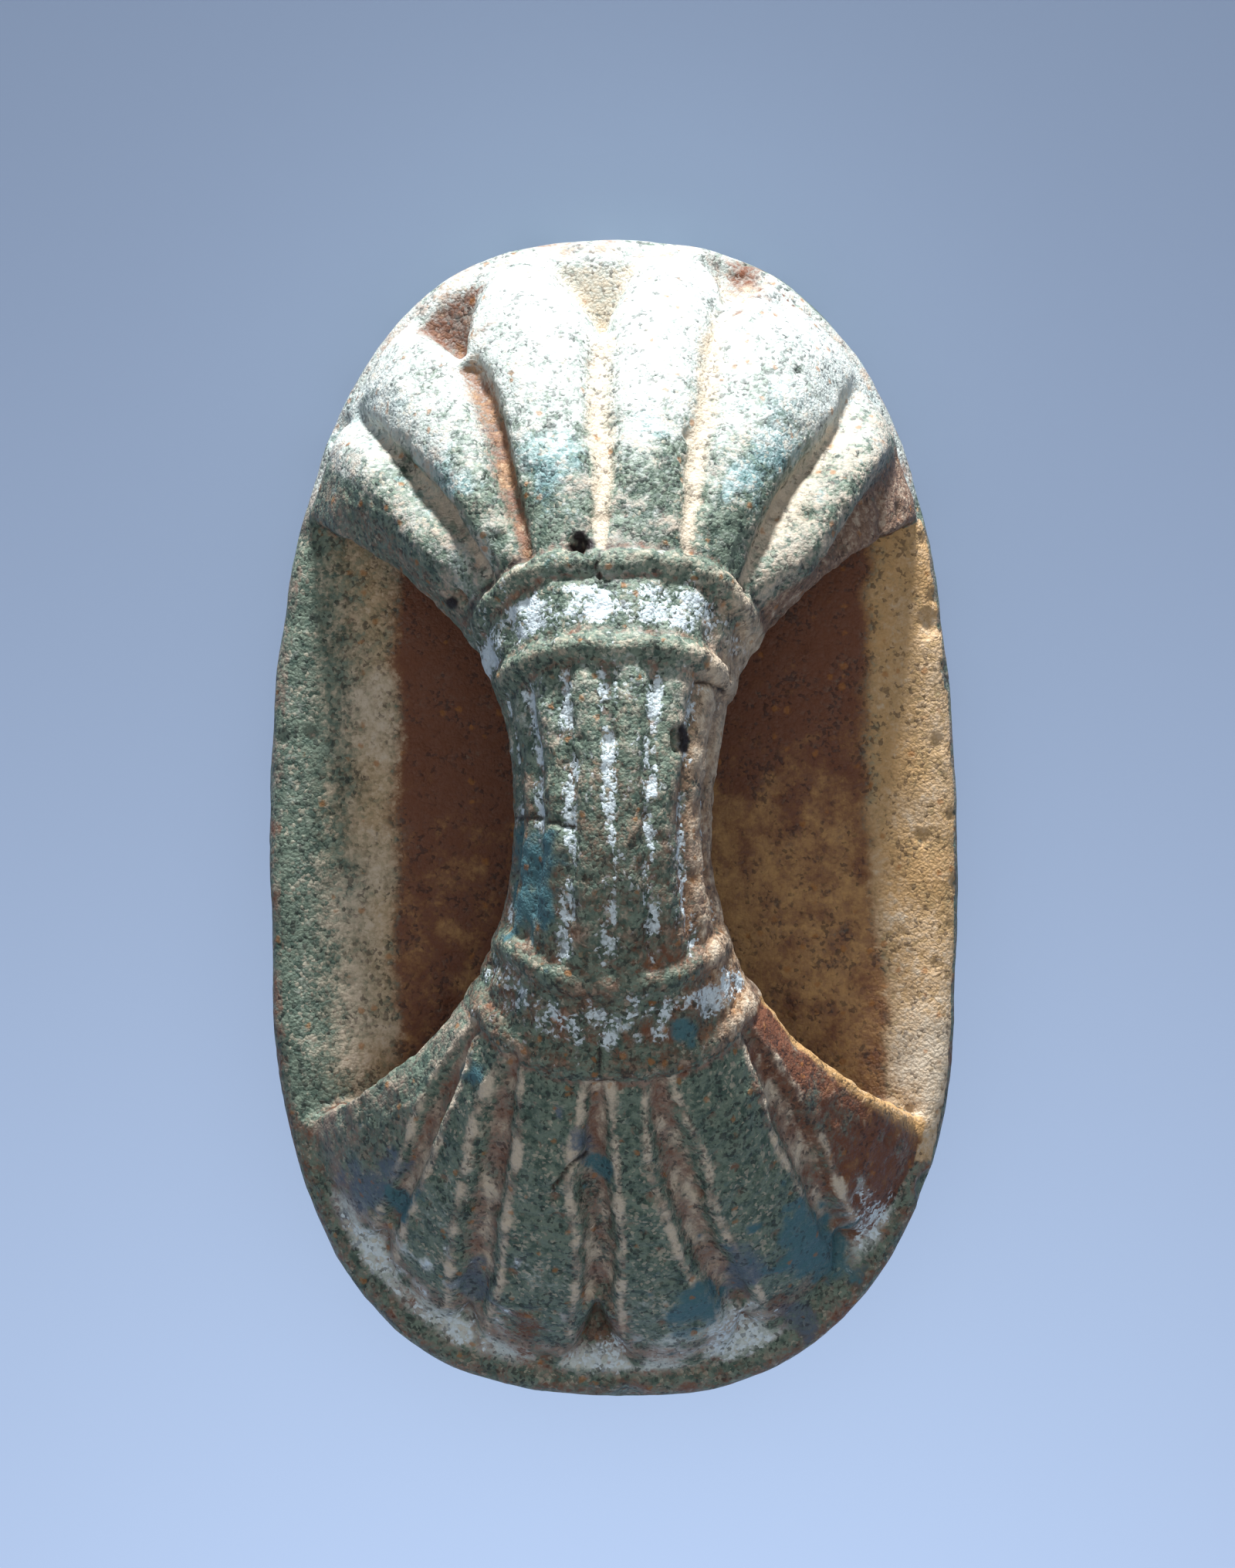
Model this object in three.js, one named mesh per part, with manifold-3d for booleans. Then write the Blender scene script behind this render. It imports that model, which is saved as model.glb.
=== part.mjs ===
// Oval seal amulet carved from one piece of glazed stone.
// A flat oval plate carries a bridge handle: two papyrus heads, one at each end of the plate, joined
// by a tied bundle of stalks that arches over an open tunnel.
// Millimetres, +Z up. The plate lies on Z = 0 with its long axis along Y, and the tunnel runs along X.
import * as THREE from "three";
import { mergeVertices } from "three/addons/utils/BufferGeometryUtils.js";
import Module from "manifold-3d";

const { smoothstep, lerp, degToRad, radToDeg } = THREE.MathUtils;
const SIDE = Math.PI / 2;

// Driving dimensions of the whole amulet
const LENGTH = 21.0;
const WIDTH = 12.5;
const HEIGHT = 8.6;

// Plate: two half superellipses that share their widest line
const PLATE_THICKNESS = 2.3;
const PLATE_EDGE_ROUND = 0.35;
const WIDEST_Y = -1.7;
const UPPER_POWER = 2.7;
const LOWER_POWER = 2.55;
const OUTLINE_STEPS = 96;

// Plan of the handle: lines fan out from the round bundle to the rim of the plate
const BUNDLE_RADIUS = 1.78;
const FAN_CENTRE_Y = 4.0;
const FAN_REACH = degToRad(75);
const SIDE_TURN = 0.84;
const STALK_RUN = 3.0;
const PETAL_RUN_MIDDLE = 3.35;
const PETAL_RUN_SIDE = 2.5;
const RIM_SEARCH_STEPS = 40;

// Lines between the petals, as angles in degrees round the bundle. They shift from the waist of the
// bundle to its neck at the outer tie, and from there to the rim.
const WAIST = [-90, -60, -30, 0, 30, 60, 90];
const PETALS = WAIST.length - 1;
const NECK = 0.46;

// The two papyrus heads. A tie crosses the crest at a share of the way from the waist to the rim, and its
// ends trail from there. Every petal has a ridge with its own crown, and every line between two petals
// has its own groove, as a depth, and its own notch at the rim, as a share of a petal.
const UPPER = {
  end: 1,
  margin: 0.3,
  sideMargin: 0.08,
  marginSwell: -0.12,
  crestReach: 10.6,
  shoulderDrop: 0.9,
  middleTurn: 0.6,
  neck: [-90, -52, -33, -5, 26, 55, 90],
  rim: [-90, -66, -36, -2, 23, 60, 90],
  ties: [
    { at: 0.465, trail: -0.02 },
    { at: 0.32, trail: -0.025 },
  ],
  tieRise: 0.2,
  ridges: [0.68, 0.42, 0.45, 0.5, 0.5, 0.32],
  crowns: [0.5, 0.44, 0.32, 0.28, 0.36, 0.65],
  grooves: [0, 0.2, 0.34, 0.14, 0.14, 0.2, 0],
  notchStart: 0.85,
  notches: [0, 0, 0.5, 0.5, 0.22, 0, 0],
};
const LOWER = {
  end: -1,
  margin: 0.7,
  sideMargin: 0.3,
  marginSwell: 0.15,
  crestReach: 10.1,
  shoulderDrop: 0,
  middleTurn: 0.45,
  neck: [-90, -66, -40, -6, 16, 61, 90],
  rim: [-90, -57, -32, -4, 28, 58, 90],
  ties: [
    { at: 0.457, trail: -0.035 },
    { at: 0.312, trail: -0.05 },
  ],
  tieRise: 0.14,
  ridges: [0.5, 0.5, 0.5, 0.5, 0.5, 0.5],
  crowns: [0.08, 0.12, 0.12, 0.12, 0.12, 0.08],
  grooves: [0, 0.16, 0.22, 0.26, 0.24, 0.18, 0],
  notchStart: 0.9,
  notches: [0, 0.22, 0.22, 0.32, 0.22, 0.22, 0],
};

// Heights of the handle: its crest along the middle, the sharp edge along each side, and the angles round
// a head and the stretch along it over which its right shoulder drops away
const CREST_POWER = 0.9;
const EDGE_RISE = 3.8;
const EDGE_REACH = 5.52;
const SHOULDER = [70, 79].map(degToRad);
const SHOULDER_RUN = [0.5, 0.8];

// Tunnel under the bundle
const TUNNEL_REACH = 5.15;
const TUNNEL_RISE = 3.3;
const TUNNEL_STEPS = 28;
const TUNNEL_OVERRUN = 1.0;
const BURIED_Z = 1.0;

// Sections of the petals, of the grooves and notches between them, and of their rounded tips
const CROWN_POWER = 1.7;
const CROWN_RUN = 0.2;
const GROOVE_RUN = 0.04;
const GROOVE_DEPTH_AT_TIE = 0.4;
const GROOVE_SHARE = 0.18;
const GROOVE_FLOOR = 0.3;
const NOTCH_FLOOR = 0.25;
const TIP_START = 0.88;
const FOOT_HEIGHT = 0.08;

// Sections of the ties round the bundle, and of the flutes between its stalks
const TIE_HALF_WIDTH = 0.022;
const STALK_PITCH = 24;
const STALK_OFFSET = -3;
const STALK_DEPTH = 0.12;
const STALK_FADE = 0.05;

// Facets of the handle's upper surface: shares of a petal's width, closer beside its grooves, and
// stretches of the way from the waist to the rim, closer at the ties and at the tips
const PETAL_STEPS = [0, 0.08, 0.18, 0.32, 0.5, 0.68, 0.82, 0.92];
const STRETCHES = [
  { to: 0.24, steps: 5 },
  { to: 0.5, steps: 18 },
  { to: 0.86, steps: 8 },
  { to: 1.0, steps: 7 },
];

const wasm = await Module();
wasm.setup();

// Half the plate's width at a place along it, drawn in from the edge by an inset.
function halfWidthAt(y, inset = 0) {
  const upper = y > WIDEST_Y;
  const reach = LENGTH / 2 + (upper ? -WIDEST_Y : WIDEST_Y) - inset;
  const power = upper ? UPPER_POWER : LOWER_POWER;
  const share = Math.min(1, Math.abs(y - WIDEST_Y) / reach);
  return (WIDTH / 2 - inset) * (1 - share ** power) ** (1 / power);
}

// A point of the plate's outline. The angle runs once round it.
function outlinePoint(angle) {
  const upper = Math.sin(angle) > 0;
  const power = 2 / (upper ? UPPER_POWER : LOWER_POWER);
  const reach = LENGTH / 2 + (upper ? -WIDEST_Y : WIDEST_Y);
  const bent = (value) => Math.sign(value) * Math.abs(value) ** power;
  return new THREE.Vector2((WIDTH / 2) * bent(Math.cos(angle)), WIDEST_Y + reach * bent(Math.sin(angle)));
}

function plateGeometry() {
  const points = [];
  for (let i = 0; i < OUTLINE_STEPS; i++) {
    points.push(outlinePoint((2 * Math.PI * i) / OUTLINE_STEPS));
  }
  const geometry = new THREE.ExtrudeGeometry(new THREE.Shape(points), {
    depth: PLATE_THICKNESS - 2 * PLATE_EDGE_ROUND,
    bevelThickness: PLATE_EDGE_ROUND,
    bevelSize: PLATE_EDGE_ROUND,
    bevelOffset: -PLATE_EDGE_ROUND,
    bevelSegments: 2,
  });
  return geometry.translate(0, 0, PLATE_EDGE_ROUND);
}

// How far inside the rim of the plate the petals end.
function marginAt(round, head) {
  const plain = lerp(head.margin, head.sideMargin, (round / SIDE) ** 4);
  return plain + head.marginSwell * Math.sin(2 * round) ** 2;
}

// Where a ray from the fan's centre meets the foot of the petals.
function rimPoint(round, head) {
  const turn = (round / SIDE) * FAN_REACH;
  const margin = marginAt(round, head);
  let near = 0;
  let far = LENGTH;
  for (let i = 0; i < RIM_SEARCH_STEPS; i++) {
    const reach = (near + far) / 2;
    const y = head.end * (FAN_CENTRE_Y + reach * Math.cos(turn));
    if (reach * Math.abs(Math.sin(turn)) < halfWidthAt(y, margin)) near = reach;
    else far = reach;
  }
  return new THREE.Vector2(near * Math.sin(turn), head.end * (FAN_CENTRE_Y + near * Math.cos(turn)));
}

// The plan of one line of the handle, from the waist of the bundle out to the rim.
function planLine(round, head) {
  const aside = Math.abs(round) / SIDE;
  const waist = new THREE.Vector2(BUNDLE_RADIUS * Math.sin(round), 0);
  const rim = rimPoint(round, head);
  const run = lerp(PETAL_RUN_MIDDLE, PETAL_RUN_SIDE, aside);
  const turn = (round / SIDE) * FAN_REACH * lerp(head.middleTurn, SIDE_TURN, aside ** 2);
  const leave = new THREE.Vector2(waist.x, head.end * STALK_RUN);
  const arrive = new THREE.Vector2(Math.sin(turn), head.end * Math.cos(turn));
  arrive.multiplyScalar(-run).add(rim);
  return new THREE.CubicBezierCurve(waist, leave, arrive, rim);
}

function crestHeight(y, head) {
  const fall = Math.max(0, 1 - (y / head.crestReach) ** 2);
  return PLATE_THICKNESS + (HEIGHT - PLATE_THICKNESS) * fall ** CREST_POWER;
}

function edgeHeight(y) {
  return PLATE_THICKNESS + EDGE_RISE * Math.sqrt(Math.max(0, 1 - (y / EDGE_REACH) ** 2));
}

// How much of its height a head keeps on its right shoulder.
function shoulderKept(round, along, head) {
  return 1 - head.shoulderDrop * smoothstep(round, ...SHOULDER) * smoothstep(along, ...SHOULDER_RUN);
}

// The angle round the bundle of a line counted in petals, from 0 at one side to PETALS at the other.
function angleOf(petal, borders) {
  const index = Math.min(PETALS - 1, Math.floor(petal));
  return degToRad(lerp(borders[index], borders[index + 1], petal - index));
}

// The same angle part of the way from the waist to the rim.
function fannedAngle(petal, along, head) {
  const gathered = lerp(angleOf(petal, WAIST), angleOf(petal, head.neck), smoothstep(along, 0, NECK));
  return lerp(gathered, angleOf(petal, head.rim), smoothstep(along, NECK, 1));
}

// The groove nearest to a line, and how far it lies from it, as a share of a petal.
function nearestGroove(petal) {
  const groove = Math.min(PETALS - 1, Math.max(1, Math.round(petal)));
  return { groove, away: Math.abs(petal - groove) };
}

// How far past a tie a point lies, as a share of the way from the waist to the rim.
function pastTie(along, round, tie) {
  return along - tie.at - tie.trail * Math.sin(round) ** 2;
}

// Height added by the petals' crowns and taken away by the grooves between them.
function petalRelief(petal, along, round, head) {
  const past = pastTie(along, round, head.ties[0]);
  const grown = smoothstep(past, 0, CROWN_RUN);
  const number = Math.min(PETALS - 1, Math.floor(petal));
  const within = petal - number;
  const ridge = head.ridges[number];
  const offRidge = Math.abs(within - ridge) / (within < ridge ? ridge : 1 - ridge);
  const height = head.crowns[number] * grown * shoulderKept(round, along, head);
  const crown = height * (1 - offRidge ** CROWN_POWER);
  const { groove, away } = nearestGroove(petal);
  const begun = smoothstep(past, 0, GROOVE_RUN);
  const depth = head.grooves[groove] * begun * lerp(GROOVE_DEPTH_AT_TIE, 1, grown);
  return crown - depth * (1 - smoothstep(away, GROOVE_FLOOR * GROOVE_SHARE, GROOVE_SHARE));
}

// How far the notch between two petal tips has cut down to the plate: 0 is uncut and 1 is right down.
function notchCut(petal, along, head) {
  const { groove, away } = nearestGroove(petal);
  const share = (head.notches[groove] * (along - head.notchStart)) / (1 - head.notchStart);
  return share > 0 ? 1 - smoothstep(away, NOTCH_FLOOR * share, share) : 0;
}

// How far the petals have rounded over at their tips: 1 is not at all and 0 is right down.
function tipRound(along) {
  const share = Math.max(0, (along - TIP_START) / (1 - TIP_START));
  return Math.sqrt(1 - share * share);
}

// Raised ties and the shallow flutes between the stalks.
function bundleRelief(along, round, head) {
  let relief = 0;
  for (const tie of head.ties) {
    relief += head.tieRise * Math.exp(-((pastTie(along, round, tie) / TIE_HALF_WIDTH) ** 2));
  }
  const [, inner] = head.ties;
  const bare = smoothstep(-pastTie(along, round, inner), 0, STALK_FADE);
  const phase = (2 * Math.PI * (radToDeg(round) - STALK_OFFSET)) / STALK_PITCH;
  return relief - (bare * STALK_DEPTH * (1 + Math.cos(phase))) / 2;
}

// One point of the handle's upper surface, on the half of the handle that runs to one head.
function handlePoint(petal, along, head) {
  const round = fannedAngle(petal, along, head);
  const plan = planLine(round, head).getPoint(along);
  const low = edgeHeight(planLine(SIDE, head).getPoint(along).y);
  const high = crestHeight(planLine(0, head).getPoint(along).y, head);
  const smooth = lerp(low, high, Math.cos(round) * shoulderKept(round, along, head));
  const carved = smooth + petalRelief(petal, along, round, head) + bundleRelief(along, round, head);
  const kept = tipRound(along) * (1 - notchCut(petal, along, head));
  const z = lerp(PLATE_THICKNESS + FOOT_HEIGHT, carved, kept);
  return new THREE.Vector3(plan.x, plan.y, Math.min(z, HEIGHT));
}

// Places along the handle, as shares of the way from the waist to the rim.
function stepsAlong() {
  const places = [0];
  for (const { to, steps } of STRETCHES) {
    const from = places.at(-1);
    for (let i = 1; i <= steps; i++) places.push(lerp(from, to, i / steps));
  }
  return places;
}

// The handle's upper surface as rows of points, from the lower rim to the upper one.
function handleRows() {
  const lines = [];
  for (let i = 0; i < PETALS; i++) lines.push(...PETAL_STEPS.map((share) => i + share));
  lines.push(PETALS);
  const row = (along, head) => lines.map((petal) => handlePoint(petal, along, head));
  const places = stepsAlong();
  const lower = places.slice(1).reverse();
  return [...lower.map((along) => row(along, LOWER)), ...places.map((along) => row(along, UPPER))];
}

// A closed body between rows of points and the level floor below them.
function bodyUnder(rows, floorZ) {
  const across = rows[0].length;
  const count = rows.length * across;
  const positions = [];
  for (const row of rows) for (const point of row) positions.push(point.x, point.y, point.z);
  for (const row of rows) for (const point of row) positions.push(point.x, point.y, floorZ);
  const index = [];
  const quad = (a, b, c, d) => index.push(a, b, c, a, c, d);
  for (let i = 0; i < rows.length - 1; i++) {
    for (let j = 0; j < across - 1; j++) {
      const a = i * across + j;
      quad(a, a + 1, a + across + 1, a + across);
      quad(count + a, count + a + across, count + a + across + 1, count + a + 1);
    }
    const left = i * across;
    const right = left + across - 1;
    quad(left, left + across, count + left + across, count + left);
    quad(right + across, right, count + right, count + right + across);
  }
  const last = (rows.length - 1) * across;
  for (let j = 0; j < across - 1; j++) {
    quad(j + 1, j, count + j, count + j + 1);
    quad(last + j, last + j + 1, count + last + j + 1, count + last + j);
  }
  const geometry = new THREE.BufferGeometry();
  geometry.setAttribute("position", new THREE.Float32BufferAttribute(positions, 3));
  return geometry.setIndex(index);
}

// The tunnel: an arch in side view, run through the handle from side to side.
function tunnelGeometry() {
  const arch = new THREE.Shape();
  arch.moveTo(TUNNEL_REACH, PLATE_THICKNESS);
  arch.absellipse(0, PLATE_THICKNESS, TUNNEL_REACH, TUNNEL_RISE, 0, Math.PI, false);
  arch.lineTo(-TUNNEL_REACH, BURIED_Z / 2);
  arch.lineTo(TUNNEL_REACH, BURIED_Z / 2);
  const geometry = new THREE.ExtrudeGeometry(arch, {
    depth: WIDTH + 2 * TUNNEL_OVERRUN,
    curveSegments: TUNNEL_STEPS,
    bevelEnabled: false,
  });
  const turned = new THREE.Matrix4().makeBasis(
    new THREE.Vector3(0, 1, 0),
    new THREE.Vector3(0, 0, 1),
    new THREE.Vector3(1, 0, 0),
  );
  return geometry.applyMatrix4(turned).translate(-WIDTH / 2 - TUNNEL_OVERRUN, 0, 0);
}

// A closed geometry as a solid that can be joined and cut.
function solidOf(geometry) {
  const bare = geometry.clone();
  bare.deleteAttribute("normal");
  bare.deleteAttribute("uv");
  const merged = mergeVertices(bare, 1e-4);
  const vertProperties = new Float32Array(merged.attributes.position.array);
  const triVerts = new Uint32Array(merged.index.array);
  return new wasm.Manifold(new wasm.Mesh({ numProp: 3, vertProperties, triVerts }));
}

function geometryOf(solid) {
  const mesh = solid.getMesh();
  const geometry = new THREE.BufferGeometry();
  geometry.setAttribute("position", new THREE.BufferAttribute(mesh.vertProperties, 3));
  geometry.setIndex(new THREE.BufferAttribute(mesh.triVerts, 1));
  geometry.computeVertexNormals();
  return geometry;
}

const handle = solidOf(bodyUnder(handleRows(), BURIED_Z)).subtract(solidOf(tunnelGeometry()));
const amulet = solidOf(plateGeometry()).add(handle);

const glaze = new THREE.MeshStandardMaterial({
  color: new THREE.Color(0.4, 0.47, 0.41),
  roughness: 0.55,
  metalness: 0.0,
});

const sealAmulet = new THREE.Mesh(geometryOf(amulet), glaze);
sealAmulet.name = "seal_amulet";

const part = new THREE.Group();
part.name = "papyrus_seal_amulet";
part.add(sealAmulet);

export default part;
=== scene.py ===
"""Worn glazed seal amulet: an oval plate under an arched handle of two papyrus heads and a tied bundle.

The file is laid out as an add-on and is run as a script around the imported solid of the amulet.
Sizes inside the functions are in millimetres, and the finished mesh is in metres.
"""

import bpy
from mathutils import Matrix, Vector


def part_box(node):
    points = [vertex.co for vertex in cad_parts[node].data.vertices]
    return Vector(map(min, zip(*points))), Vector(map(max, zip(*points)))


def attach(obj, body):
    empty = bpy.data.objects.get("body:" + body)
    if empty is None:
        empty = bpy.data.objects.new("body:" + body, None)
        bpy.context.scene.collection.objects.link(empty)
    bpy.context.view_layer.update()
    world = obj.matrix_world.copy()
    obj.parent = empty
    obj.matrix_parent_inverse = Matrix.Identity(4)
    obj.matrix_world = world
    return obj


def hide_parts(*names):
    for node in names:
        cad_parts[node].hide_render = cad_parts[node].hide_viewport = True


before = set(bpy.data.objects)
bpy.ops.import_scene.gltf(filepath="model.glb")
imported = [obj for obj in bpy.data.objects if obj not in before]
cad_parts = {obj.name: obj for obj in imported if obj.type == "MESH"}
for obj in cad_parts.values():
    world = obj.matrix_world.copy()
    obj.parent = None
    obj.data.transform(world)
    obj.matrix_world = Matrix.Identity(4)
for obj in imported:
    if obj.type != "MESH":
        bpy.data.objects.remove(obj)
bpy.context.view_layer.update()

from types import SimpleNamespace

import bpy
import numpy as np
from bpy.props import FloatProperty, FloatVectorProperty, PointerProperty
from mathutils import Vector, kdtree, noise

bl_info = {
    "name": "Papyrus Seal Amulet",
    "version": (1, 0, 0),
    "blender": (4, 5, 0),
    "location": "3D View > Sidebar > Amulet",
    "description": "Carves and glazes a small seal amulet and sets it on a plain stage",
    "category": "Object",
}

NODE = "seal_amulet"
SLOT = "worn_glaze"
BODY = "root"
PIECE = "papyrus_seal_amulet"
MM = 0.001

NODE_LOW, NODE_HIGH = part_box(NODE)

# Plate outline: two half superellipses that share their widest line
WIDEST_Y = -1.7
UPPER_POWER = 2.7
LOWER_POWER = 2.55
OUTLINE_STEPS = 240
EDGE_ROUND = 0.35
EDGE_STEPS = 5

# Plan of the handle: lines fan out from the bundle to the rim
FAN_CENTRE_Y = 4.0
FAN_REACH = np.radians(75)
STALK_RUN = 3.0
PETAL_RUN_MIDDLE = 3.35
PETAL_RUN_SIDE = 2.5
SIDE_TURN = 0.84
NECK = 0.46
RIM_SEARCH_STEPS = 40
SIDE = np.pi / 2

# Heights of the handle and of the tunnel under it
CREST_POWER = 0.9
EDGE_RISE = 3.8
EDGE_REACH = 5.52
SHOULDER = np.radians((70, 79))
SHOULDER_RUN = (0.5, 0.8)
TUNNEL_REACH = 5.15
BELLY_POWER = 6
SIDE_WALL = 0.2
BURIED_Z = 1.0
FOOT_HEIGHT = 0.08

# The two papyrus heads. Neck and borders are the angles, in degrees round the bundle, of the lines between
# the petals, at the ties and at the rim. Each petal has its own crown, and each groove its own section.
UPPER = SimpleNamespace(
    margin=0.3,
    side_margin=0.08,
    margin_swell=-0.12,
    crest_reach=10.6,
    shoulder_drop=0.9,
    middle_turn=0.6,
    neck=(-90, -52, -33, -5, 26, 55, 90),
    borders=(-90, -66, -36, -2, 23, 60, 90),
    ties=((0.465, -0.02), (0.32, -0.025)),
    tie_rise=1.0,
    ridge_at=(0.68, 0.42, 0.45, 0.5, 0.5, 0.32),
    crown=(0.5, 0.44, 0.32, 0.28, 0.36, 0.65),
    groove_half=(0.1, 0.3, 0.34, 0.44, 0.38, 0.44, 0.1),
    groove_floor=(0.1, 0.1, 0.1, 0.15, 0.15, 0.15, 0.1),
    groove_depth=(0.0, 0.2, 0.34, 0.14, 0.14, 0.2, 0.0),
    groove_stain=(0.0, 0.3, 0.75, 0.12, 0.1, 0.2, 0.0),
    lip=0.0,
    notch_start=(2.0, 2.0, 0.85, 0.84, 0.92, 2.0, 2.0),
    notch_share=(0.3, 0.3, 0.5, 0.5, 0.22, 0.3, 0.3),
    notch_cut=(0.0, 0.0, 0.95, 0.95, 0.7, 0.0, 0.0),
    tip_round=0.012,
)
LOWER = SimpleNamespace(
    margin=0.48,
    side_margin=0.3,
    margin_swell=0.18,
    crest_reach=10.1,
    shoulder_drop=0.0,
    middle_turn=0.45,
    neck=(-90, -66, -40, -6, 16, 61, 90),
    borders=(-90, -57, -32, -4, 28, 58, 90),
    ties=((0.457, -0.035), (0.312, -0.05)),
    tie_rise=0.6,
    ridge_at=(0.5, 0.5, 0.5, 0.5, 0.5, 0.5),
    crown=(0.08, 0.12, 0.12, 0.12, 0.12, 0.08),
    groove_half=(0.1, 0.3, 0.4, 0.38, 0.42, 0.36, 0.1),
    groove_floor=(0.35, 0.35, 0.35, 0.4, 0.35, 0.35, 0.35),
    groove_depth=(0.0, 0.16, 0.22, 0.26, 0.24, 0.18, 0.0),
    groove_stain=(0.0, 0.1, 0.2, 0.4, 0.4, 0.4, 0.0),
    lip=0.04,
    notch_start=(2.0, 0.92, 0.92, 0.86, 0.92, 0.92, 2.0),
    notch_share=(0.3, 0.22, 0.22, 0.32, 0.22, 0.22, 0.3),
    notch_cut=(0.0, 1.0, 1.0, 1.0, 1.0, 1.0, 0.0),
    tip_round=0.035,
)
WAIST_BORDERS = (-90, -60, -30, 0, 30, 60, 90)
PETALS = len(WAIST_BORDERS) - 1
CROWN_POWER = 1.7
CROWN_RUN = 0.2
CROWN_FALL = 0.4
CROWN_FALL_START = 0.75
GROOVE_RUN = 0.03
GROOVE_START_WIDTH = 0.5
GROOVE_START_DEPTH = 0.4
LIP_AT = 1.15
LIP_WIDTH = 0.11
LEDGE_AT = 0.75
LEDGE_WIDTH = 0.2
NOTCH_FLOOR = 0.5
NOTCH_NONE = 0.99
TIP_START = 0.88

# The carver's hand: waves in the lines between petals, as height, and turns along and across
LINE_WAVES = ((0.03, 9, 2), (0.02, 23, -3))
WAVES_FULL = 0.7

# Ties, and the flutes between the stalks
TIE_HALF_WIDTH = 0.2
TIE_POWER = 3
TIE_EDGE = 0.02
TIE_ENDS = (0.05, 0.5)
TIE_GUTTER = 0.05
GUTTER_AT = 1.5
GUTTER_HALF_WIDTH = 0.07
BAND_EDGE = (0.03, 0.05)
BAND_FLUTE = 0.6
BLOCKS = (-58, -25, 3)
BLOCK_HALF_ANGLE = 8.0
BLOCK_TOP = 0.7
BLOCK_RISE = 0.05
STALK_PITCH = 24.0
STALK_OFFSET = -3.0
STALK_EDGE = (0.02, 0.05)

# Working grid of the handle and the merged mesh
GRID_ACROSS = 280
GRID_ALONG = 460
VOXEL = 0.075
SMOOTH_SHARE = 0.5
SMOOTH_PASSES = 2
MOST_TRIANGLES = 190000
NEAR_HANDLE = 0.3
HANDLE_CLEAR = 0.06
HOLLOW_PASSES = 8
HOLLOW_DEPTH = 0.03

# Damage, as places on the plan: x, y, radius, depth
PITS = (
    (1.22, 1.6, 0.16, 0.2),
    (1.24, 1.42, 0.18, 0.22),
    (1.24, 1.26, 0.15, 0.2),
    (-0.62, 5.05, 0.22, 0.28),
    (-0.45, 4.92, 0.16, 0.22),
    (-2.9, 3.9, 0.2, 0.25),
    (-1.15, 7.1, 0.16, 0.1),
    (-0.9, -5.0, 0.12, 0.08),
)
CRACKS = (
    ((-1.75, 0.05), (-1.45, 0.06), (-1.2, 0.0), (-0.95, -0.08), (-0.72, -0.1)),
    ((-0.27, 4.75), (-0.32, 4.5), (-0.25, 4.3)),
    ((-1.1, -6.6), (-0.85, -6.25), (-0.7, -6.1), (-0.5, -5.95)),
    ((1.45, 2.45), (1.7, 2.42), (1.95, 2.28)),
    ((-0.25, -4.1), (-0.28, -4.5)),
)
CRACK_HALF_WIDTH = 0.055
CRACK_DEPTH = 0.12
CRACK_CLEAR = 0.2
CHIPS = (
    (2.3, 10.05, 0.75, 0.35),
    (3.3, 9.5, 0.5, 0.2),
    (5.85, -6.7, 0.35, 0.22),
    (-5.1, 7.2, 0.4, 0.15),
    (-2.2, -10.2, 0.4, 0.12),
    (0.3, -10.6, 0.4, 0.12),
    (5.9, 3.6, 0.35, 0.12),
)
PIT_COUNT = 320
PIT_RADII = (0.08, 0.22)
PIT_DEPTH = 0.3
NICK_COUNT = 16
NICK_RADII = (0.1, 0.3)
NICK_DEPTH = 0.25
NICK_INSIDE = 0.9
NICK_BAND = 0.3
NICK_UP = 0.85
DENT_POWER = 1.5
REACH_OVER = 0.15
SEED = 7

# Unevenness of the surface, as height, size of features and octaves, and where it fades out
UNEVEN = ((0.05, 3.2, 3), (0.03, 1.1, 2))
GRAIN = ((1.0, 0.42, 3), (0.8, 0.2, 2))
PLATE_GRAIN = 0.25
BASE_KEPT = (0.05, 0.6)
HANDLE_STARTS = (0.1, 0.7)

# Colour patches on the plan: x, y, radius
FINISHES = ("pale", "cream", "ochre", "taupe", "brown", "white", "teal", "slate", "turquoise", "dark")
PATCHES = {
    "teal": (
        (3.55, -7.75, 0.8), (1.44, -8.8, 0.5), (-3.85, -6.9, 0.34), (-2.5, -4.6, 0.26), (-1.45, -0.75, 0.55),
        (-1.4, -1.5, 0.5), (-0.15, -6.2, 0.28), (1.3, -3.75, 0.3),
    ),
    "slate": (
        (-4.5, -6.75, 0.6), (-2.5, -8.45, 0.4), (2.35, -8.15, 0.55), (-0.65, -5.75, 0.34), (-4.0, -6.3, 0.4),
        (3.4, -9.0, 0.4),
    ),
    "turquoise": (
        (2.75, 6.75, 0.7), (2.3, 6.2, 0.5), (3.2, 7.6, 0.6), (-1.2, 6.6, 0.9), (0.6, 7.2, 0.5),
        (4.6, 8.0, 0.7), (-5.0, 7.4, 0.7), (-3.2, 6.2, 0.6), (-4.3, 7.6, 0.5),
    ),
    "pale": (
        (-4.55, -8.0, 0.85), (-3.1, -9.4, 0.8), (-2.1, -9.8, 0.6), (-0.3, -10.0, 0.8), (2.3, -9.5, 0.9),
        (4.8, -7.4, 0.8), (0.8, -10.0, 0.6), (-3.8, -8.9, 0.6), (-4.9, -7.2, 0.6),
    ),
    "white": (
        (-4.6, -7.95, 0.7), (-3.0, -9.4, 0.6), (-0.2, -9.95, 0.5), (2.3, -9.5, 0.7), (4.75, -7.35, 0.6),
        (-0.05, -9.5, 0.2),
    ),
    "brown": (
        (3.1, -4.9, 0.6), (4.0, -5.4, 0.6), (-0.2, -9.3, 0.6), (-3.0, 9.05, 0.5), (2.4, 9.85, 0.5),
        (-1.6, -9.2, 0.4), (3.0, -8.8, 0.35),
    ),
}
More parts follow.
